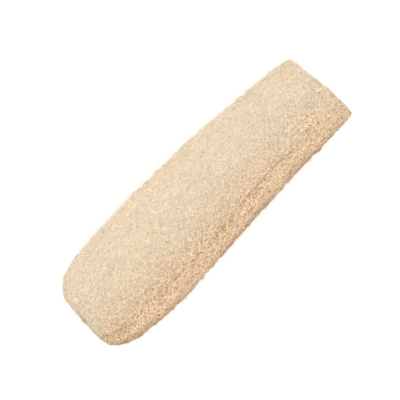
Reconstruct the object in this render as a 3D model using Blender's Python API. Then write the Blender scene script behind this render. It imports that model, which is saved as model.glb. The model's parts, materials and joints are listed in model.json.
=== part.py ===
# Natural loofah sponge: the peeled, seeded and dried fibre skeleton of one luffa fruit, cut across at both ends.
# It grew as one piece, so it is one solid: a fluted body under a raised net of strands, with three seed channels
# that run from cut end to cut end. It lies along X on the surface z = 0, with the tapered stem end at -X, and the
# origin is under the middle of its box. Units are metres.

import math
import random

import bmesh
import bpy
from mathutils import Vector, noise

MM = 0.001

# The long axis runs level, this high above the surface. The soft underside settles flat where it would pass below.
AXIS_HEIGHT = 36.0 * MM

# Half sizes of the body about the long axis, in millimetres, from the stem end to the other end:
# place along the axis, reach towards +Y, towards -Y, upwards, downwards.
STATIONS = (
    (-140, 32.0, 31.0, 30.5, 31.0),
    (-131, 35.0, 35.4, 33.0, 34.0),
    (-116, 39.8, 41.2, 36.6, 37.4),
    (-95, 43.2, 44.3, 39.0, 39.2),
    (-60, 45.0, 45.2, 40.5, 39.4),
    (-20, 44.8, 42.7, 40.0, 39.4),
    (20, 43.8, 40.7, 38.5, 39.4),
    (60, 41.6, 39.1, 36.0, 39.3),
    (95, 37.6, 37.7, 33.8, 39.2),
    (125, 34.6, 37.2, 32.4, 39.0),
    (140, 33.4, 36.9, 31.8, 38.6),
)

# The knife cuts: where each crosses the long axis, how far it leans along X per metre of Y, and the radius
# that the soft rim rounds over to, on the +Y side and on the -Y side.
STEM_CUT_X = -139.2 * MM
STEM_CUT_LEAN = 0.02
STEM_RIM = (16.0 * MM, 9.5 * MM)
BLOSSOM_CUT_X = 138.4 * MM
BLOSSOM_CUT_LEAN = -0.05
BLOSSOM_RIM = (7.0 * MM, 2.8 * MM)

# Grooves along the body: angle round the section in degrees (0 is +Y, 90 is up), depth and half width in
# millimetres and degrees, the stretch along X in millimetres, and how far the angle wanders, in degrees.
GROOVES = (
    (73, 1.9, 6.0, -165, -38, 1.5),
    (44, 1.3, 6.0, -98, 62, 2.0),
    (102, 1.1, 7.0, 5, 165, 2.5),
    (204, 2.6, 8.5, -125, 165, 2.0),
    (322, 2.4, 8.0, -165, 165, 2.5),
    (349, 1.2, 6.0, -165, 20, 1.5),
)
GROOVE_FADE = 30.0 * MM
GROOVE_WAVE = 90.0 * MM

# The sharper furrows on the upper -Y flank, the long one first. Each is a row of places along X in millimetres,
# with the angle round the section in degrees and the depth in millimetres there.
FURROWS = (
    (
        (-140, 143, 4.4),
        (-116, 136, 3.8),
        (-66, 134, 2.8),
        (-4, 134, 2.2),
        (26, 130, 3.2),
        (57, 129, 3.4),
        (95, 130, 2.0),
        (140, 131, 2.0),
    ),
    ((-120, 124, 0.0), (-100, 124, 1.8), (-78, 122, 2.0), (-52, 118, 0.0)),
)
FURROW_HALF_WIDTH = 5.5

# Slow unevenness of a thing that grew: its height and how far apart its swells lie.
SWELL = 1.1 * MM
SWELL_PITCH = 42.0 * MM

# The raised net. Its cells are pits, one for every three points of a triangular lattice, and the strands
# are the ridges between them. The lattice has this many points round the body and steps along it, and each
# point is moved at random by up to a share of a step. The net fades out over a short distance towards each
# knife cut, where one more row lies a share of a step from the cut.
POINTS_ROUND = 72
ROW_STEPS = 68
PIT_DEPTH = (1.5 * MM, 2.7 * MM)
STRAND_UNEVENNESS = 0.8 * MM
LATTICE_JITTER = 0.23
NET_FADE = 5.0 * MM
RIM_ROW_SHARE = 0.3

# The seed channels: their number, the angle of the first, how far their straight middle lines lie from the long
# axis, and their half sizes across and round the section, where the body's least reach is FULL_REACH. Each is
# wider towards the skin by the share CHANNEL_LEAN, and swells and narrows a little on its way. They lie round a
# line that is AXIS_LIFT above the long axis, and their spaces run out past both cuts.
CHANNELS = 3
CHANNEL_TURN = 97.0
CHANNEL_RADIUS = 15.0 * MM
CHANNEL_HALF_DEEP = 9.4 * MM
CHANNEL_HALF_WIDE = 12.2 * MM
CHANNEL_LEAN = 0.18
CHANNEL_SIDES = 12
CHANNEL_RINGS = 9
CHANNEL_SWELL = 0.08
CHANNEL_RUN_OUT = 8.0 * MM
FULL_REACH = 44.0 * MM
AXIS_LIFT = 1.5 * MM

SEED = 27
FIBRE_CREAM = (0.82, 0.66, 0.46, 1.0)
FIBRE_ROUGHNESS = 0.9


def smooth_through(stations, x):
    """The numbers after the first in each station, read at x from a smooth curve through all of them. The first
    is the station's place in millimetres, and x is in metres."""
    places = [station[0] * MM for station in stations]
    x = min(max(x, places[0]), places[-1])
    last = len(stations) - 1
    i = next(n for n in range(last) if x <= places[n + 1])

    def slope(n, column):
        low, high = max(n - 1, 0), min(n + 1, last)
        return (stations[high][column] - stations[low][column]) / (places[high] - places[low])

    span = places[i + 1] - places[i]
    t = (x - places[i]) / span
    start, leave = 2 * t**3 - 3 * t**2 + 1, t**3 - 2 * t**2 + t
    end, arrive = 3 * t**2 - 2 * t**3, t**3 - t**2
    return [
        start * stations[i][column]
        + leave * span * slope(i, column)
        + end * stations[i + 1][column]
        + arrive * span * slope(i + 1, column)
        for column in range(1, len(stations[0]))
    ]


def reach_at(x):
    """The four half sizes of the section at x."""
    return [size * MM for size in smooth_through(STATIONS, x)]


def groove_depth(x, angle):
    """How far the grooves and furrows draw the surface in, at x and an angle in degrees."""
    depth = 0.0
    for middle, deep, half_width, start, end, wander in GROOVES:
        middle += wander * math.sin(x / GROOVE_WAVE * math.tau + middle)
        apart = (angle - middle + 180) % 360 - 180
        into = min(x - start * MM, end * MM - x) / GROOVE_FADE
        share = min(max(into, 0.0), 1.0)
        depth += deep * MM * share * share * (3 - 2 * share) * math.exp(-((apart / half_width) ** 2))
    for stations in FURROWS:
        middle, deep = smooth_through(stations, x)
        apart = (angle - middle + 180) % 360 - 180
        depth += max(deep, 0.0) * MM * math.exp(-((apart / FURROW_HALF_WIDTH) ** 2))
    return depth


def rim_inset(from_cut, radius):
    """How far the soft rim has rounded inwards, at a distance from the knife cut."""
    left = max(radius - from_cut, 0.0)
    return radius - math.sqrt(max(radius**2 - left**2, 0.0))


def skin_point(along, angle, relief):
    """A point of the outside. along is its distance from the stem cut as a share of the length between
    the cuts, angle is in degrees, and relief moves it off the body, outwards if above zero."""
    turn = math.radians(angle)
    side, rise = math.cos(turn), math.sin(turn)
    nominal_x = STEM_CUT_X + (BLOSSOM_CUT_X - STEM_CUT_X) * along
    to_left, to_right, up, down = reach_at(nominal_x)
    half_wide = to_left if side > 0 else to_right
    half_high = up if rise > 0 else down
    y, z = half_wide * side, half_high * rise
    reach = math.hypot(y, z)

    stem_x = STEM_CUT_X + STEM_CUT_LEAN * y
    blossom_x = BLOSSOM_CUT_X + BLOSSOM_CUT_LEAN * y
    x = stem_x + (blossom_x - stem_x) * along
    left_share = (1 + side) / 2
    stem_radius = STEM_RIM[0] * left_share + STEM_RIM[1] * (1 - left_share)
    blossom_radius = BLOSSOM_RIM[0] * left_share + BLOSSOM_RIM[1] * (1 - left_share)
    inset = rim_inset(x - stem_x, stem_radius) + rim_inset(blossom_x - x, blossom_radius)

    from_cut = min(x - stem_x, blossom_x - x)
    net_share = min(from_cut / NET_FADE, 1.0)
    swell = SWELL * noise.noise(Vector((x, y, z)) / SWELL_PITCH)
    shrink = (reach - inset - groove_depth(x, angle) + swell + relief * net_share) / reach
    return Vector((x, y * shrink, max(AXIS_HEIGHT + z * shrink, 0.0)))


def row_places(pitch):
    """Where the lattice's rows lie, as shares of the length, with one more close to each knife cut."""
    inner = [n * pitch for n in range(1, round(1 / pitch))]
    return [0.0, RIM_ROW_SHARE * pitch, *inner, 1 - RIM_ROW_SHARE * pitch, 1.0]


def body_mesh():
    """The outside of the sponge: the lattice skin, closed by the two flat cuts."""
    draw = random.Random(SEED)
    body = bmesh.new()
    pitch = 1 / ROW_STEPS
    places = row_places(pitch)
    step = 360 / POINTS_ROUND
    rows = []
    for k, along in enumerate(places):
        at_cut = k in (0, len(places) - 1)
        near_cut = k in (1, len(places) - 2)
        row = []
        for j in range(POINTS_ROUND):
            # One point in three is a pit, moved on from row to row so that six strand points ring each one.
            is_pit = (j - k // 2 - k) % 3 == 0
            relief = -draw.uniform(*PIT_DEPTH) if is_pit else STRAND_UNEVENNESS * draw.uniform(-0.5, 0.5)
            shift_along, shift_round = draw.uniform(-1, 1), draw.uniform(-1, 1)
            if at_cut or near_cut:
                shift_along = 0.0
            point = skin_point(
                along + LATTICE_JITTER * pitch * shift_along,
                step * (j + 0.5 * (k % 2) + LATTICE_JITTER * shift_round),
                relief,
            )
            row.append(body.verts.new(point))
        rows.append(row)
    for k in range(len(rows) - 1):
        low, high = rows[k], rows[k + 1]
        for j in range(POINTS_ROUND):
            after = (j + 1) % POINTS_ROUND
            if k % 2 == 0:
                body.faces.new((low[j], high[j], low[after]))
                body.faces.new((low[after], high[j], high[after]))
            else:
                body.faces.new((low[j], high[j], high[after]))
                body.faces.new((low[j], high[after], low[after]))
    body.faces.new(rows[0])
    body.faces.new(reversed(rows[-1]))
    bmesh.ops.recalc_face_normals(body, faces=body.faces)
    mesh = bpy.data.meshes.new("loofah_sponge")
    body.to_mesh(mesh)
    body.free()
    return mesh


def channel_mesh(turn):
    """The space of one seed channel: a tube of oval section that narrows with the body, open past both cuts."""
    tube = bmesh.new()
    rings = []
    start, end = STEM_CUT_X - CHANNEL_RUN_OUT, BLOSSOM_CUT_X + CHANNEL_RUN_OUT
    outward = Vector((0, math.cos(turn), math.sin(turn)))
    sideways = Vector((0, -math.sin(turn), math.cos(turn)))
    for k in range(CHANNEL_RINGS):
        x = start + (end - start) * k / (CHANNEL_RINGS - 1)
        size = min(reach_at(x)) / FULL_REACH
        size *= 1 + CHANNEL_SWELL * noise.noise(Vector((x / SWELL_PITCH, turn, 0)))
        middle = Vector((x, 0, AXIS_HEIGHT + AXIS_LIFT)) + outward * CHANNEL_RADIUS
        ring = []
        for j in range(CHANNEL_SIDES):
            a = math.tau * j / CHANNEL_SIDES
            deep = CHANNEL_HALF_DEEP * size * math.cos(a)
            wide = CHANNEL_HALF_WIDE * size * math.sin(a) * (1 + CHANNEL_LEAN * math.cos(a))
            ring.append(tube.verts.new(middle + outward * deep + sideways * wide))
        rings.append([tube.edges.new((ring[j - 1], ring[j])) for j in range(CHANNEL_SIDES)])
    for near, far in zip(rings, rings[1:]):
        bmesh.ops.bridge_loops(tube, edges=near + far)
    for edges in (rings[0], rings[-1]):
        bmesh.ops.contextual_create(tube, geom=edges)
    bmesh.ops.recalc_face_normals(tube, faces=tube.faces)
    mesh = bpy.data.meshes.new("seed_channel_space")
    tube.to_mesh(mesh)
    tube.free()
    return mesh


def fibre_material():
    """Dry bleached fibre: a matt warm cream."""
    material = bpy.data.materials.new("loofah_fibre")
    material.use_nodes = True
    shader = material.node_tree.nodes["Principled BSDF"]
    shader.inputs["Base Color"].default_value = FIBRE_CREAM
    shader.inputs["Roughness"].default_value = FIBRE_ROUGHNESS
    shader.inputs["Metallic"].default_value = 0.0
    material.diffuse_color = FIBRE_CREAM
    return material


def clear_scene():
    """Empties the scene before the sponge is made."""
    for leftover in list(bpy.data.objects):
        bpy.data.objects.remove(leftover)


def centre_over_origin(sponge, helpers):
    """Brings the middle of the body's box over the origin, and the channels' spaces with it."""
    corners = [vertex.co for vertex in sponge.data.vertices]
    middle_x = (min(c.x for c in corners) + max(c.x for c in corners)) / 2
    middle_y = (min(c.y for c in corners) + max(c.y for c in corners)) / 2
    for item in (sponge, *helpers):
        item.location = (-middle_x, -middle_y, 0.0)


def build():
    """Makes the sponge, and hollows out its seed channels."""
    clear_scene()
    collection = bpy.context.scene.collection
    sponge = bpy.data.objects.new("loofah_sponge", body_mesh())
    sponge.data.materials.append(fibre_material())
    collection.objects.link(sponge)
    spaces = []
    for n in range(CHANNELS):
        turn = math.radians(CHANNEL_TURN) + math.tau * n / CHANNELS
        space = bpy.data.objects.new(f"seed_channel_space_{n + 1}", channel_mesh(turn))
        collection.objects.link(space)
        space.hide_render = True
        space.display_type = "WIRE"
        hollow = sponge.modifiers.new(f"seed_channel_{n + 1}", "BOOLEAN")
        hollow.operation = "DIFFERENCE"
        hollow.solver = "EXACT"
        hollow.object = space
        spaces.append(space)
    centre_over_origin(sponge, spaces)


build()
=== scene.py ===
import json
import math
import random

import bpy
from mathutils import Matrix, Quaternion, Vector, kdtree, noise
from mathutils.bvhtree import BVHTree


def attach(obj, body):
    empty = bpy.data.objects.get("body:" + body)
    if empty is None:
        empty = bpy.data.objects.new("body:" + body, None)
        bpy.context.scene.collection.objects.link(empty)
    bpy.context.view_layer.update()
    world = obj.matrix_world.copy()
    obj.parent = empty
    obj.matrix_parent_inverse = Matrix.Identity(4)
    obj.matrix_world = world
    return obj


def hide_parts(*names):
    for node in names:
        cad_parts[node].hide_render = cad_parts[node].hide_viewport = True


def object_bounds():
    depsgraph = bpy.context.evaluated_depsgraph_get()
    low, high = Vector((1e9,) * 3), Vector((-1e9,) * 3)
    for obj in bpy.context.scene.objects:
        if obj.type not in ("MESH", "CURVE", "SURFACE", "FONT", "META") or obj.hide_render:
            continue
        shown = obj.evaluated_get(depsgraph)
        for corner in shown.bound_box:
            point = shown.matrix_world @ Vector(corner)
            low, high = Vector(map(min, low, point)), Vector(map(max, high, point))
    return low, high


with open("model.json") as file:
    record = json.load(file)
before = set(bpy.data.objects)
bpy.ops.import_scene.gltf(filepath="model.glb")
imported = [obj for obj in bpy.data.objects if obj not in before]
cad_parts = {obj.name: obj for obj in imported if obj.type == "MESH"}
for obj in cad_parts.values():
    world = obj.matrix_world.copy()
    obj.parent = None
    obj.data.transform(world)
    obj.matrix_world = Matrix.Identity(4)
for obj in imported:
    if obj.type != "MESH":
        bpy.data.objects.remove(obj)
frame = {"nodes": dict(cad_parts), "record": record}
cad_low, cad_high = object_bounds()

# The felt: the deep, closely matted part of the sponge that shows between the outer strands. It is
# the fruit's own flesh net, darker than the outside: partly its own colour, bleached less, and
# partly painted shade in the gaps between the strands, most of all towards -Y. It follows the
# sponge's plain solid, softened, and lies just under its skin. Lengths here and below are in
# metres.
FELT_MERGE_GAP = 0.00001
FELT_VOXEL = 0.0016
FELT_SOFTENING = 4
FELT_INSET = 0.0005


def select_only(piece):
    bpy.ops.object.select_all(action="DESELECT")
    piece.select_set(True)
    bpy.context.view_layer.objects.active = piece


def apply_modifier(piece, name, kind, **settings):
    modifier = piece.modifiers.new(name, kind)
    for setting, value in settings.items():
        setattr(modifier, setting, value)
    select_only(piece)
    bpy.ops.object.modifier_apply(modifier=name)


felt = bpy.data.objects.new("sponge_felt", frame["nodes"]["loofah_sponge"].data.copy())
bpy.context.scene.collection.objects.link(felt)
select_only(felt)
bpy.ops.object.mode_set(mode="EDIT")
bpy.ops.mesh.select_all(action="SELECT")
bpy.ops.mesh.remove_doubles(threshold=FELT_MERGE_GAP)
bpy.ops.object.mode_set(mode="OBJECT")
apply_modifier(felt, "Close mat", "REMESH", mode="VOXEL", voxel_size=FELT_VOXEL)
apply_modifier(felt, "Soften", "SMOOTH", factor=0.5, iterations=FELT_SOFTENING)
apply_modifier(felt, "Draw in", "DISPLACE", strength=-FELT_INSET, mid_level=0.0)

# The strands creep over this smooth shape, which is kept before the felt is creased and lumped.
skin = BVHTree.FromObject(felt, bpy.context.evaluated_depsgraph_get())

# The fruit dried unevenly, and felt and strands alike follow that. Thin creases run along the top
# and the upper flank towards -Y, the deepest of them at the stem end, and draw the mat in there.
# The sides and the cut ends rise and sink a little, so the outline is ragged.
# A crease is a row of places: x, the angle round the section in degrees, and the depth.
CREASES = (
    (
        (-0.138, 142.0, 0.0022),
        (-0.116, 135.7, 0.0022),
        (-0.066, 133.7, 0.0014),
        (-0.004, 134.5, 0.0012),
        (0.026, 130.0, 0.0018),
        (0.057, 128.8, 0.0020),
        (0.095, 130.0, 0.0010),
        (0.138, 131.0, 0.0010),
    ),
    (
        (-0.118, 122.0, 0.0),
        (-0.100, 122.5, 0.0014),
        (-0.078, 121.5, 0.0016),
        (-0.052, 118.0, 0.0),
    ),
    (
        (-0.138, 64.0, 0.0010),
        (-0.100, 68.0, 0.0012),
        (-0.060, 73.0, 0.0),
    ),
    (
        (-0.1395, 131.0, 0.0045),
        (-0.128, 138.5, 0.0055),
        (-0.118, 143.5, 0.0025),
        (-0.112, 147.0, 0.0),
    ),
)
CREASE_HALF_WIDTH = 0.0015
AXIS_HEIGHT = 0.036
CHANNELS_REACH = 0.024
SIDE_HEIGHT = 0.022
SIDE_UNEVENNESS = 0.0013
SIDE_SWELLS = 180
SIDE_GRAIN = 500
SIDE_GRAIN_SHARE = 0.7
END_LENGTH = 0.012
END_UNEVENNESS = 0.0022
END_SWELLS_ACROSS = 60
END_SWELLS_UP = 25
END_GRAIN = 260
END_GRAIN_SHARE = 0.6
END_WORN = 0.0014


def crease_depth(x, turn, reach):
    """How deep the creases are at x, at an angle in degrees and this far out from the axis."""
    depth = 0.0
    for crease in CREASES:
        for (x0, turn0, deep0), (x1, turn1, deep1) in zip(crease, crease[1:]):
            if x0 <= x < x1:
                share = (x - x0) / (x1 - x0)
                apart = math.radians(turn - turn0 - (turn1 - turn0) * share) * reach
                deep = deep0 + (deep1 - deep0) * share
                depth += deep * math.exp(-((apart / CREASE_HALF_WIDTH) ** 2))
    return depth


def dried(place):
    """Where the place lies once the fruit has dried: drawn in, and moved along near the ends."""
    across = Vector((0, place.y, place.z - AXIS_HEIGHT))
    turn = math.degrees(math.atan2(across.z, across.y))
    depth = crease_depth(place.x, turn, across.length)
    if across.length > CHANNELS_REACH:
        side = max(1 - abs(across.z) / SIDE_HEIGHT, 0)
        swell = noise.noise(place * SIDE_SWELLS)
        grain = noise.noise(place * SIDE_GRAIN)
        depth += side * (swell + SIDE_GRAIN_SHARE * grain) * SIDE_UNEVENNESS
    end = max(1 - (cad_high.x - abs(place.x)) / END_LENGTH, 0)
    swell = noise.noise(Vector((0, place.y * END_SWELLS_ACROSS, place.z * END_SWELLS_UP)))
    ragged = swell + END_GRAIN_SHARE * noise.noise(place * END_GRAIN)
    outward = Vector((math.copysign(1, place.x), 0, 0))
    longer = ragged * END_UNEVENNESS - END_WORN
    return place - across.normalized() * depth + outward * end * longer


for vertex in felt.data.vertices:
    vertex.co = dried(vertex.co)

# Knots of matted fibre make the felt lumpy. Between them it sinks, so dark gaps show there.
FELT_LUMP = 0.0014
FELT_LUMP_SIZE = 0.0035
FELT_LUMP_LEVEL = 0.95
lumps = bpy.data.textures.new("felt_lumps", "CLOUDS")
lumps.noise_scale = FELT_LUMP_SIZE
lumps.noise_depth = 1
apply_modifier(
    felt, "Lumps", "DISPLACE", strength=FELT_LUMP, mid_level=FELT_LUMP_LEVEL, texture=lumps
)
bpy.ops.object.shade_smooth()

# The fibre's finish: dry plant fibre, matt and finely flecked. The bleach left it cream. The dark
# flecks are partly the fibre's own mottling and partly painted shade of the gaps between fibres,
# more of it towards -Y. Towards -Y, the shaded side, it is more tan: partly its own tan, partly
# painted warm shade and bounce light. This fades out near the +X end. Lower on that side it is
# browner: painted shade on the underside. A pair of values is where a change starts and where it
# is complete.
FIBRE_ROUGHNESS = 0.88
FIBRE_SPECULAR = 0.25
FIBRE_SHEEN = 0.15
FIBRE_SHEEN_ROUGHNESS = 0.6
FLECK_SCALE = 1150.0
FLECK_EDGE = (0.43, 0.37)
FLECK_PULLS = (0.84, 1.0, 1.15)
PALE_FLECK_SHARE = 0.72
PALE_FLECKS_Y = (0.050, -0.002)
GRAIN_SCALE = 2600.0
GRAIN_RELIEF = 0.0002
WEB_CELL = 0.0011
WEB_EDGE = (0.08, 0.32)
WEB_RELIEF = 0.0005
TAN_Y = (0.009, -0.020)
TAN_X = (0.165, 0.105)
TAN_WANDER = 0.022
TAN_WANDER_SCALE = 45.0
# Below these heights the tan side turns browner: painted shade on the underside.
UNDERSIDE_SHADE_Z = (0.067, 0.047)
UNDERSIDE_WANDER = 0.02
UNDERSIDE_WANDER_SCALE = 35.0
UNDERSIDE_SHADE_SHARE = (0.64, 0.55, 0.46)


def plant_fibre(name, bleached, tan, fleck_depth, bump, webbed=False):
    """Dry plant fibre. fleck_depth is how far the darkest flecks fall on the tan side, as a share.
    A webbed one is a mat too fine to model singly: pale lines round small hollows in painted
    shade."""
    material = bpy.data.materials.new(name)
    material.use_nodes = True
    nodes, links = material.node_tree.nodes, material.node_tree.links
    shader = nodes["Principled BSDF"]
    shader.inputs["Roughness"].default_value = FIBRE_ROUGHNESS
    shader.inputs["Specular IOR Level"].default_value = FIBRE_SPECULAR
    shader.inputs["Sheen Weight"].default_value = FIBRE_SHEEN
    shader.inputs["Sheen Roughness"].default_value = FIBRE_SHEEN_ROUGHNESS
    place = nodes.new("ShaderNodeTexCoord").outputs["Object"]
    axes = nodes.new("ShaderNodeSeparateXYZ")
    links.new(place, axes.inputs["Vector"])

    def change(value, pair, kind="LINEAR"):
        ramp = nodes.new("ShaderNodeMapRange")
        ramp.interpolation_type = kind
        ramp.inputs["From Min"].default_value, ramp.inputs["From Max"].default_value = pair
        links.new(value, ramp.inputs["Value"])
        return ramp.outputs["Result"]

    def grain(scale, detail):
        cloud = nodes.new("ShaderNodeTexNoise")
        cloud.inputs["Scale"].default_value = scale
        cloud.inputs["Detail"].default_value = detail
        links.new(place, cloud.inputs["Vector"])
        return cloud.outputs["Fac"]

    def calculate(operation, *values):
        node = nodes.new("ShaderNodeMath")
        node.operation = operation
        for socket, value in zip(node.inputs, values):
            if isinstance(value, float):
                socket.default_value = value
            else:
                links.new(value, socket)
        return node.outputs["Value"]

    def blend(share, first, second):
        mix = nodes.new("ShaderNodeMix")
        mix.data_type = "RGBA"
        links.new(share, mix.inputs["Factor"])
        for socket, colour in ((mix.inputs["A"], first), (mix.inputs["B"], second)):
            if isinstance(colour, tuple):
                socket.default_value = (*colour, 1.0)
            else:
                links.new(colour, socket)
        return mix.outputs["Result"]

    def flecked(share, colour, depth):
        dark = tuple(value * (1 - depth * pull) for value, pull in zip(colour, FLECK_PULLS))
        return blend(share, colour, dark)

    # Dark flecks: on a webbed mat, the cells of a web, painted shade in its hollows; otherwise
    # fine noise, partly the fibre's own mottling and partly painted shade of the gaps between
    # fibres.
    if webbed:
        cells = nodes.new("ShaderNodeTexVoronoi")
        cells.feature = "DISTANCE_TO_EDGE"
        cells.inputs["Scale"].default_value = 1 / WEB_CELL
        links.new(place, cells.inputs["Vector"])
        flecks = change(cells.outputs["Distance"], WEB_EDGE)
        relief, relief_depth = calculate("MULTIPLY", flecks, -1.0), WEB_RELIEF
    else:
        flecks = change(grain(FLECK_SCALE, 1.0), FLECK_EDGE)
        relief, relief_depth = grain(GRAIN_SCALE, 2.0), GRAIN_RELIEF
    # The tan towards -Y, the shaded side: partly the fibre's own tan, partly painted warm shade
    # and bounce light. It fades out near the +X end.
    wander = grain(TAN_WANDER_SCALE, 2.0)
    uneven_edge = calculate("MULTIPLY_ADD", wander, TAN_WANDER, axes.outputs["Y"])
    fade_near_plus_x_end = change(axes.outputs["X"], TAN_X)
    tan_towards_shade = change(uneven_edge, TAN_Y, "SMOOTHSTEP")
    shade_side_tan = calculate("MULTIPLY", tan_towards_shade, fade_near_plus_x_end)
    # Painted shade on the underside: lower down on the -Y side the colour turns browner.
    wander = grain(UNDERSIDE_WANDER_SCALE, 2.0)
    uneven_height = calculate("MULTIPLY_ADD", wander, UNDERSIDE_WANDER, axes.outputs["Z"])
    low_down_shade = change(uneven_height, UNDERSIDE_SHADE_Z, "SMOOTHSTEP")
    underside_shade = calculate("MULTIPLY", low_down_shade, shade_side_tan)
    # The pale side's flecks fade out towards +Y, the lit side, so the painted shade of the gaps
    # grows towards -Y.
    pale_flecks = calculate("MULTIPLY", flecks, change(axes.outputs["Y"], PALE_FLECKS_Y))
    pale_side = flecked(pale_flecks, bleached, fleck_depth * PALE_FLECK_SHARE)
    tan_side = flecked(flecks, tan, fleck_depth)
    shade_brown = tuple(value * share for value, share in zip(tan, UNDERSIDE_SHADE_SHARE))
    shaded_underside = flecked(flecks, shade_brown, fleck_depth)
    colour = blend(underside_shade, blend(shade_side_tan, pale_side, tan_side), shaded_underside)
    links.new(colour, shader.inputs["Base Color"])
    ridges = nodes.new("ShaderNodeBump")
    ridges.inputs["Strength"].default_value = bump
    ridges.inputs["Distance"].default_value = relief_depth
    links.new(relief, ridges.inputs["Height"])
    links.new(ridges.outputs["Normal"], shader.inputs["Normal"])
    return material


# The felt's tan towards -Y is far darker than the strands': painted shade in the gaps between them
# on the shaded side, on top of the felt's own darker colour.
FELT_CREAM = (0.79, 0.655, 0.49)
FELT_TAN = (0.62, 0.42, 0.245)
felt.data.materials.clear()
felt.data.materials.append(
    plant_fibre("felt_fibre", FELT_CREAM, FELT_TAN, fleck_depth=0.62, bump=0.9, webbed=True)
)
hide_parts("loofah_sponge")
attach(felt, "root")

# The hoop strands: stout fibres that run round the fruit, each on its own wandering way, and the
# first layer of the raised net. Each is a fine tube that creeps over the felt with its underside
# sunk in it, and it starts about a golden turn on from the one before.
GOLDEN_SHARE = (math.sqrt(5) - 1) / 2
BEYOND_SKIN = 0.2
HOOP_LEAST = 0.3
BEND_KEPT = 0.72
WAVE_PHASES = 500
WAVE_PACE = 0.41
PLACE_SPREAD = 0.3
COURSE_SPREAD = 0.2
STRAND_SIDES = 3
FLOOR_CLEARANCE = 0.0001
HOOP_THICKNESS = 0.00055
# The strands' cream and their tan towards -Y. That tan is lighter and warmer than the cream:
# painted warm bounce light on the shaded side, on top of the fibre's own tan.
NET_CREAM = (0.80, 0.68, 0.52)
NET_TAN = (0.925, 0.715, 0.49)


def any_way(draw):
    return Vector((draw.uniform(-1, 1), draw.uniform(-1, 1), draw.uniform(-1, 1)))


def outward_at(turn):
    return Vector((0, math.cos(turn), math.sin(turn)))


def skin_place(along, turn):
    """The place on the skin at a share of the length from the stem end, and at an angle."""
    x = cad_low.x + (cad_high.x - cad_low.x) * along
    axis = Vector((x, 0, (cad_low.z + cad_high.z) / 2))
    outward = outward_at(turn)
    spot = skin.ray_cast(axis + outward * BEYOND_SKIN, -outward)[0]
    return spot or axis


def creep(draw, place, heading, length, pitch, curl, course, pull, low, high):
    """The points of a strand that creeps over the skin. It bends at random by curl, and is pulled
    towards its course, an angle from the hoop direction, except on the cuts, which have none. It
    rises and sinks between low and high above the felt."""
    points = []
    bend = 0.0
    phase = draw.uniform(0, WAVE_PHASES)
    for n in range(max(round(length / pitch), 3)):
        spot, normal, _, _ = skin.find_nearest(place)
        hoop = normal.cross(Vector((1, 0, 0)))
        if pull and hoop.length > HOOP_LEAST:
            along = Quaternion(normal, course) @ hoop.normalized()
            if along.dot(heading) < 0:
                along = -along
            heading = heading + along * pull
        heading = (heading - normal * heading.dot(normal)).normalized()
        wave = noise.noise(Vector((phase, n * WAVE_PACE, 0)))
        points.append(spot + normal * ((low + high) / 2 + (high - low) * wave))
        bend = BEND_KEPT * bend + draw.gauss(0, curl)
        heading = Quaternion(normal, bend) @ heading
        place = spot + heading * pitch
    return points


def layer(seed, count, length, pitch, curl, courses, pull, low, high):
    """The paths of a layer of strands, spread evenly over the skin. Each takes one of the courses,
    more or less."""
    draw = random.Random(seed)
    paths = []
    for n in range(count):
        along = (n + draw.random()) / count
        turn = math.tau * (n * GOLDEN_SHARE + PLACE_SPREAD * draw.random())
        course = draw.choice(courses) + draw.gauss(0, COURSE_SPREAD)
        heading = any_way(draw)
        run = draw.uniform(*length)
        place = skin_place(along, turn)
        paths.append(creep(draw, place, heading, run, pitch, curl, course, pull, low, high))
    return paths


def strands(name, paths, thickness, material, taper):
    """One piece of many thin tubes with closed ends, one along each path. taper is the share of
    the thickness that is left at the ends."""
    radius = thickness / 2
    bpy.ops.object.select_all(action="DESELECT")
    section = bpy.data.curves.new("strand_section", "CURVE")
    section.dimensions = "2D"
    rim = section.splines.new("POLY")
    rim.points.add(STRAND_SIDES - 1)
    for n, point in enumerate(rim.points):
        turn = math.tau * n / STRAND_SIDES
        point.co = (radius * math.cos(turn), radius * math.sin(turn), 0, 1)
    rim.use_cyclic_u = True
    profile = bpy.data.objects.new("strand_section", section)
    bpy.context.scene.collection.objects.link(profile)
    curve = bpy.data.curves.new(name, "CURVE")
    curve.dimensions = "3D"
    curve.bevel_mode = "OBJECT"
    curve.bevel_object = profile
    curve.use_fill_caps = True
    for path in paths:
        spline = curve.splines.new("POLY")
        last = len(path) - 1
        spline.points.add(last)
        for n, (point, place) in enumerate(zip(spline.points, map(dried, path))):
            point.co = (place.x, place.y, max(place.z, radius + FLOOR_CLEARANCE), 1)
            fullness = math.sqrt(max(math.sin(math.pi * n / last), 0.0))
            point.radius = taper + (1 - taper) * fullness
    piece = bpy.data.objects.new(name, curve)
    bpy.context.scene.collection.objects.link(piece)
    select_only(piece)
    bpy.ops.object.convert(target="MESH")
    bpy.data.objects.remove(profile)
    bpy.ops.object.mode_set(mode="EDIT")
    bpy.ops.mesh.select_all(action="SELECT")
    bpy.ops.mesh.normals_make_consistent(inside=False)
    bpy.ops.object.mode_set(mode="OBJECT")
    bpy.ops.object.shade_smooth()
    piece.data.materials.clear()
    piece.data.materials.append(material)
    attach(piece, "root")


net_fibre = plant_fibre("net_fibre", NET_CREAM, NET_TAN, fleck_depth=0.85, bump=0.35)
hoop_paths = layer(
    seed=11,
    count=850,
    length=(0.04, 0.09),
    pitch=0.0026,
    curl=0.18,
    courses=(-0.35, 0.0, 0.35),
    pull=0.35,
    low=0.0,
    high=0.0006,
)
strands("hoop_strands", hoop_paths, HOOP_THICKNESS, net_fibre, taper=0.45)

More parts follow.
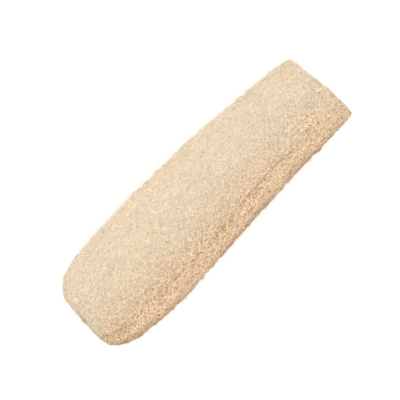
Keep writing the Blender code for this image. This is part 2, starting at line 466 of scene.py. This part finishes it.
# The veins: the fruit's long bundles, a little stouter than the hoops. They run from end to end
# within the net, in a few pieces each, and show as faint long threads from close by.
VEINS = 22
VEIN_PIECES = 4
VEIN_THICKNESS = 0.00075
VEIN_GAP = (0.05, 0.3)
VEIN_LENGTH = (0.05, 0.1)
vein_draw = random.Random(14)
vein_paths = []
for n in range(VEINS * VEIN_PIECES):
    along = (n % VEIN_PIECES + vein_draw.uniform(*VEIN_GAP)) / VEIN_PIECES
    vein_paths.append(
        creep(
            vein_draw,
            place=skin_place(along, math.tau * n * GOLDEN_SHARE),
            heading=Vector((1, 0, 0)),
            length=vein_draw.uniform(*VEIN_LENGTH),
            pitch=0.003,
            curl=0.09,
            course=math.pi / 2,
            pull=0.4,
            low=0.0,
            high=0.0006,
        )
    )
strands("veins", vein_paths, VEIN_THICKNESS, net_fibre, taper=0.3)

# The cross strands: thinner fibres that cross the hoops both ways, and some that run along the
# fruit. They lie over the hoops and close the net into small uneven cells.
CROSS_THICKNESS = 0.00045
cross_paths = layer(
    seed=12,
    count=1200,
    length=(0.025, 0.07),
    pitch=0.0021,
    curl=0.24,
    courses=(-0.95, 0.95, 1.57),
    pull=0.2,
    low=0.0002,
    high=0.0009,
)
strands("cross_strands", cross_paths, CROSS_THICKNESS, net_fibre, taper=0.4)

# The curled tangle: short, fine, tightly curled fibres on top of the net. They lie every way, and
# are coloured the palest: partly their own bleached colour, partly painted light on the topmost
# fibres.
TANGLE_THICKNESS = 0.00038
# The palest cream, partly painted light on the topmost fibres. The tan towards -Y is lighter and
# warmer: painted warm bounce light on the shaded side, on top of the fibre's own tan.
NAP_CREAM = (0.82, 0.71, 0.55)
NAP_TAN = (0.945, 0.755, 0.535)
nap_fibre = plant_fibre("nap_fibre", NAP_CREAM, NAP_TAN, fleck_depth=0.85, bump=0.3)
tangle_paths = layer(
    seed=13,
    count=2100,
    length=(0.012, 0.032),
    pitch=0.0014,
    curl=0.6,
    courses=(0.0, 1.57),
    pull=0.0,
    low=0.0002,
    high=0.0012,
)
strands("curled_tangle", tangle_paths, TANGLE_THICKNESS, nap_fibre, taper=0.35)

# The nap: the tips and little loops of fibres that broke when the skin was peeled away. They arch
# out of the net by about a millimetre, thickest where the net is thin, and give the sponge its
# grainy, towelling look.
NAP_PLACES = 16000
NAP_LOOPS = 9000
NAP_SPREAD = 0.1
NAP_THICKNESS = 0.00052
NAP_LENGTH = (0.0014, 0.0030)
NAP_HEIGHT = (0.0006, 0.0014)
NAP_ROOT = 0.0003
NAP_SWING = 0.6
NAP_TIP_SWING = 1.5
NAP_TIP_HEIGHT = (-0.3, 0.9)
NAP_RISE_ALONG = 0.2
NAP_RISE_HEIGHT = 0.8
NAP_CREST_ALONG = 0.65


def nap_loop(draw, place):
    """A short fibre that arches up from the skin and back, leaning to one side."""
    spot, normal, _, _ = skin.find_nearest(place)
    way = any_way(draw)
    heading = (way - normal * way.dot(normal)).normalized()
    aside = normal.cross(heading) * draw.uniform(-NAP_SWING, NAP_SWING)
    length = draw.uniform(*NAP_LENGTH)
    height = draw.uniform(*NAP_HEIGHT)
    tip = spot + (heading + aside * NAP_TIP_SWING) * length
    return [
        spot - normal * NAP_ROOT,
        spot + heading * length * NAP_RISE_ALONG + normal * height * NAP_RISE_HEIGHT,
        spot + (heading + aside) * length * NAP_CREST_ALONG + normal * height,
        tip + normal * height * draw.uniform(*NAP_TIP_HEIGHT),
    ]


net_points = [point for path in hoop_paths + cross_paths + tangle_paths for point in path]
net_tree = kdtree.KDTree(len(net_points))
for n, point in enumerate(net_points):
    net_tree.insert(point, n)
net_tree.balance()
nap_draw = random.Random(15)
nap_places = []
for n in range(NAP_PLACES):
    along = (n + nap_draw.random()) / NAP_PLACES
    turn = math.tau * (n * GOLDEN_SHARE + NAP_SPREAD * nap_draw.random())
    nap_places.append(skin_place(along, turn))
nap_places.sort(key=lambda place: net_tree.find(place)[2], reverse=True)
nap_paths = [nap_loop(nap_draw, place) for place in nap_places[:NAP_LOOPS]]
strands("nap", nap_paths, NAP_THICKNESS, nap_fibre, taper=0.7)

# The cut faces: the knife sliced the whole skeleton across, so each end shows matted fibres and
# their cut tips round the mouths of the seed channels.
FACE_REACH = 0.040
MOUTH_DEPTH = 0.008
FACE_TANGLE = 420
FACE_THICKNESS = 0.0004
FACE_LENGTH = (0.008, 0.022)
FACE_TIPS = 650
TIP_THICKNESS = 0.0006
TIP_TURN = 0.01
TIP_LEAN = 0.0005
TIP_DEPTH = 0.0012
TIP_PROUD = (0.0002, 0.0011)


def face_place(end, share, turn):
    """The place on the cut at an end (-1 is the stem end), or None where a seed channel opens."""
    reach = FACE_REACH * math.sqrt(share)
    y, middle_z = reach * math.cos(turn), (cad_low.z + cad_high.z) / 2
    start = Vector((end * BEYOND_SKIN, y, middle_z + reach * math.sin(turn)))
    spot = skin.ray_cast(start, Vector((-end, 0, 0)))[0]
    if spot is None or abs(spot.x) < cad_high.x - MOUTH_DEPTH:
        return None
    return spot


face_draw = random.Random(16)
face_paths = []
tip_paths = []
for end in (-1, 1):
    for n in range(FACE_TANGLE):
        spot = face_place(end, (n + 0.5) / FACE_TANGLE, math.tau * n * GOLDEN_SHARE)
        heading = Vector((0, face_draw.uniform(-1, 1), face_draw.uniform(-1, 1)))
        length = face_draw.uniform(*FACE_LENGTH)
        if spot:
            face_paths.append(
                creep(
                    face_draw,
                    spot,
                    heading,
                    length,
                    pitch=0.0014,
                    curl=0.5,
                    course=0.0,
                    pull=0.0,
                    low=0.0,
                    high=0.0007,
                )
            )
    for n in range(FACE_TIPS):
        turn = math.tau * (n * GOLDEN_SHARE + TIP_TURN)
        spot = face_place(end, (n + 0.5) / FACE_TIPS, turn)
        lean = Vector((0, face_draw.gauss(0, TIP_LEAN), face_draw.gauss(0, TIP_LEAN)))
        proud = face_draw.uniform(*TIP_PROUD)
        if spot:
            inside = spot - Vector((end * TIP_DEPTH, 0, 0)) - lean
            tip_paths.append([inside, spot, spot + Vector((end * proud, 0, 0)) + lean])
strands("cut_face_tangle", face_paths, FACE_THICKNESS, net_fibre, taper=0.4)
strands("cut_tips", tip_paths, TIP_THICKNESS, net_fibre, taper=0.9)

# The channel web: the seeds lay in three long hollows, whose walls are a finer web of fibres,
# thickest at the mouths and coloured darker than the outside. At each mouth a fringe
# that the knife pulled loose leans in, and a few fibres still cross from wall to wall.
CHANNEL_THICKNESS = 0.00045
CHANNEL_CREAM = (0.74, 0.60, 0.44)
CHANNEL_TAN = (0.70, 0.54, 0.36)
CHANNEL_STRANDS = 210
CHANNEL_LENGTH = (0.015, 0.04)
MOUTH_FRINGE = 44
FRINGE_INSET = (0.0008, 0.004)
FRINGE_SPREAD = 0.2
FRINGE_ROOT = 0.0006
FRINGE_REACH = (0.0010, 0.0032)
FRINGE_OUT = (0.1, 0.9)
FRINGE_ASIDE = 0.7
FRINGE_LEAN = 0.4
CROSSING_FIBRES = 4
CROSSING_DEPTH = (0.003, 0.016)
CROSSING_SPAN = (1.3, 2.6)
CROSSING_BENDS = (0.3, 0.7)
CROSSING_BOW = 0.0009


def scatter(draw, size):
    return Vector([draw.gauss(0, size) for _ in range(3)])


def channel_wall(x, middle, outward):
    """The place on a channel's wall at x, outward from its middle line, if there is a wall."""
    return skin.ray_cast(Vector((x, middle.y, middle.z)), outward)[0]


channel_fibre = plant_fibre(
    "channel_fibre", CHANNEL_CREAM, CHANNEL_TAN, fleck_depth=0.35, bump=0.4
)
channel_draw = random.Random(17)
channel_paths = []
for opening in frame["record"]["physics"]["openings"]:
    box_low, box_high = (Vector(corner) for corner in opening["box_m"])
    middle = (box_low + box_high) / 2
    for n in range(CHANNEL_STRANDS):
        from_mouth = (n / CHANNEL_STRANDS) ** 2 * cad_high.x
        x = (cad_high.x - from_mouth) * (1 if n % 2 else -1)
        wall = channel_wall(x, middle, outward_at(math.tau * n * GOLDEN_SHARE))
        heading = any_way(channel_draw)
        length = channel_draw.uniform(*CHANNEL_LENGTH)
        if wall:
            channel_paths.append(
                creep(
                    channel_draw,
                    wall,
                    heading,
                    length,
                    pitch=0.002,
                    curl=0.35,
                    course=0.8,
                    pull=0.1,
                    low=0.0,
                    high=0.0009,
                )
            )
    for end in (-1, 1):
        for n in range(MOUTH_FRINGE):
            x = end * (cad_high.x - channel_draw.uniform(*FRINGE_INSET))
            turn = math.tau * (n * GOLDEN_SHARE + channel_draw.uniform(0, FRINGE_SPREAD))
            outward = outward_at(turn)
            wall = channel_wall(x, middle, outward)
            aside = Vector((end * channel_draw.uniform(*FRINGE_OUT), 0, 0))
            aside = aside + outward.yzx * channel_draw.uniform(-FRINGE_ASIDE, FRINGE_ASIDE)
            reach = channel_draw.uniform(*FRINGE_REACH)
            lean = scatter(channel_draw, FRINGE_LEAN)
            if wall:
                way = (aside - outward) * reach
                root = wall + outward * FRINGE_ROOT
                channel_paths.append([root, wall + way * 0.5, wall + way + lean * reach])
        for n in range(CROSSING_FIBRES):
            x = end * (cad_high.x - channel_draw.uniform(*CROSSING_DEPTH))
            turn = channel_draw.uniform(0, math.tau)
            turns = (turn, turn + channel_draw.uniform(*CROSSING_SPAN))
            ends = [channel_wall(x, middle, outward_at(turn)) for turn in turns]
            bow = scatter(channel_draw, CROSSING_BOW)
            if all(ends):
                first, second = ends
                bends = [first.lerp(second, share) + bow for share in CROSSING_BENDS]
                channel_paths.append([first, *bends, second])
strands("channel_web", channel_paths, CHANNEL_THICKNESS, channel_fibre, taper=0.4)

# The loose hairs: broken fibre ends that stand out of the nap in small tufts, and make the
# sponge's outline ragged. The side towards -Y, which was handled more, has the longer ones.
TUFTS = 950
TUFT_HAIRS = 5
TUFT_PLACE_SPREAD = 0.2
TUFT_SPREAD = 0.0007
HAIR_THICKNESS = 0.00036
HAIR_LENGTH = (0.0010, 0.0024)
HAIR_LEAN = 0.35
HAIR_DROOP = 0.4
HANDLED_LENGTH = 1.1
hair_draw = random.Random(18)
hair_paths = []
for n in range(TUFTS):
    along = (n + hair_draw.random()) / TUFTS
    turn = math.tau * (n * GOLDEN_SHARE + TUFT_PLACE_SPREAD * hair_draw.random())
    middle = skin_place(along, turn)
    longer = HANDLED_LENGTH if middle.y < 0 else 1.0
    for _ in range(TUFT_HAIRS):
        spot, normal, _, _ = skin.find_nearest(middle + scatter(hair_draw, TUFT_SPREAD))
        way = (normal + scatter(hair_draw, HAIR_LEAN)).normalized()
        droop = scatter(hair_draw, HAIR_DROOP)
        length = hair_draw.uniform(*HAIR_LENGTH) * longer
        hair_paths.append([spot + (way + droop * t) * length * t for t in (0.0, 0.5, 1.0)])
strands("loose_hairs", hair_paths, HAIR_THICKNESS, nap_fibre, taper=0.6)

# The floor: a plain white table top, laid level under the sponge. It is matt, and so wide that its
# edge shows in no view.
FLOOR_SIZE = 8
FLOOR_WHITE = (0.88, 0.88, 0.88, 1)
FLOOR_ROUGHNESS = 0.9
bpy.ops.mesh.primitive_plane_add(size=FLOOR_SIZE, location=(0, 0, 0))
floor = bpy.context.object
floor.name = "floor"
white = bpy.data.materials.new("floor_white")
white.use_nodes = True
paint = white.node_tree.nodes["Principled BSDF"]
paint.inputs["Base Color"].default_value = FLOOR_WHITE
paint.inputs["Roughness"].default_value = FLOOR_ROUGHNESS
floor.data.materials.append(white)

# The studio: a broad soft lamp on the side of +Y, another nearly overhead, and an even white room
# all round, which keeps the shade towards -Y light.
LAMP_DISTANCE = 1.6
LAMP_SIZE = 1.6
ROOM_WHITE = (1, 1, 1, 1)
ROOM_STRENGTH = 1.0


def soft_lamp(name, towards, watts, colour):
    lamp = bpy.data.lights.new(name, "AREA")
    lamp.shape = "DISK"
    lamp.size = LAMP_SIZE
    lamp.energy = watts
    lamp.color = colour
    holder = bpy.data.objects.new(name, lamp)
    bpy.context.scene.collection.objects.link(holder)
    holder.location = towards.normalized() * LAMP_DISTANCE
    holder.rotation_euler = towards.to_track_quat("Z", "Y").to_euler()


soft_lamp("key", towards=Vector((-0.1, 1.1, 0.9)), watts=12.4, colour=(1, 0.99, 0.96))
soft_lamp("overhead", towards=Vector((0.1, -0.35, 1.3)), watts=18.2, colour=(1, 0.99, 0.95))
room = bpy.data.worlds.new("room")
room.use_nodes = True
walls = room.node_tree.nodes["Background"]
walls.inputs["Color"].default_value = ROOM_WHITE
walls.inputs["Strength"].default_value = ROOM_STRENGTH
bpy.context.scene.world = room

# The camera looks straight down, turned so that the sponge's stem end is at the lower left of the
# picture. The picture is VIEW_WIDTH wide at the height of the sponge's widest part.
VIEW_TURN = math.radians(45.16)
VIEW_MIDDLE = (-0.0002, 0.0024)
VIEW_WIDTH = 0.3292
VIEW_LENS = 400.0
SENSOR_WIDTH = 36.0
WIDEST_HEIGHT = 0.036
lens = bpy.data.cameras.new("camera")
lens.lens = VIEW_LENS
lens.sensor_width = SENSOR_WIDTH
camera = bpy.data.objects.new("camera", lens)
bpy.context.scene.collection.objects.link(camera)
camera.location = (*VIEW_MIDDLE, WIDEST_HEIGHT + VIEW_WIDTH * VIEW_LENS / SENSOR_WIDTH)
camera.rotation_euler = (0, 0, -VIEW_TURN)
bpy.context.scene.camera = camera
bpy.context.scene.view_settings.view_transform = "Standard"
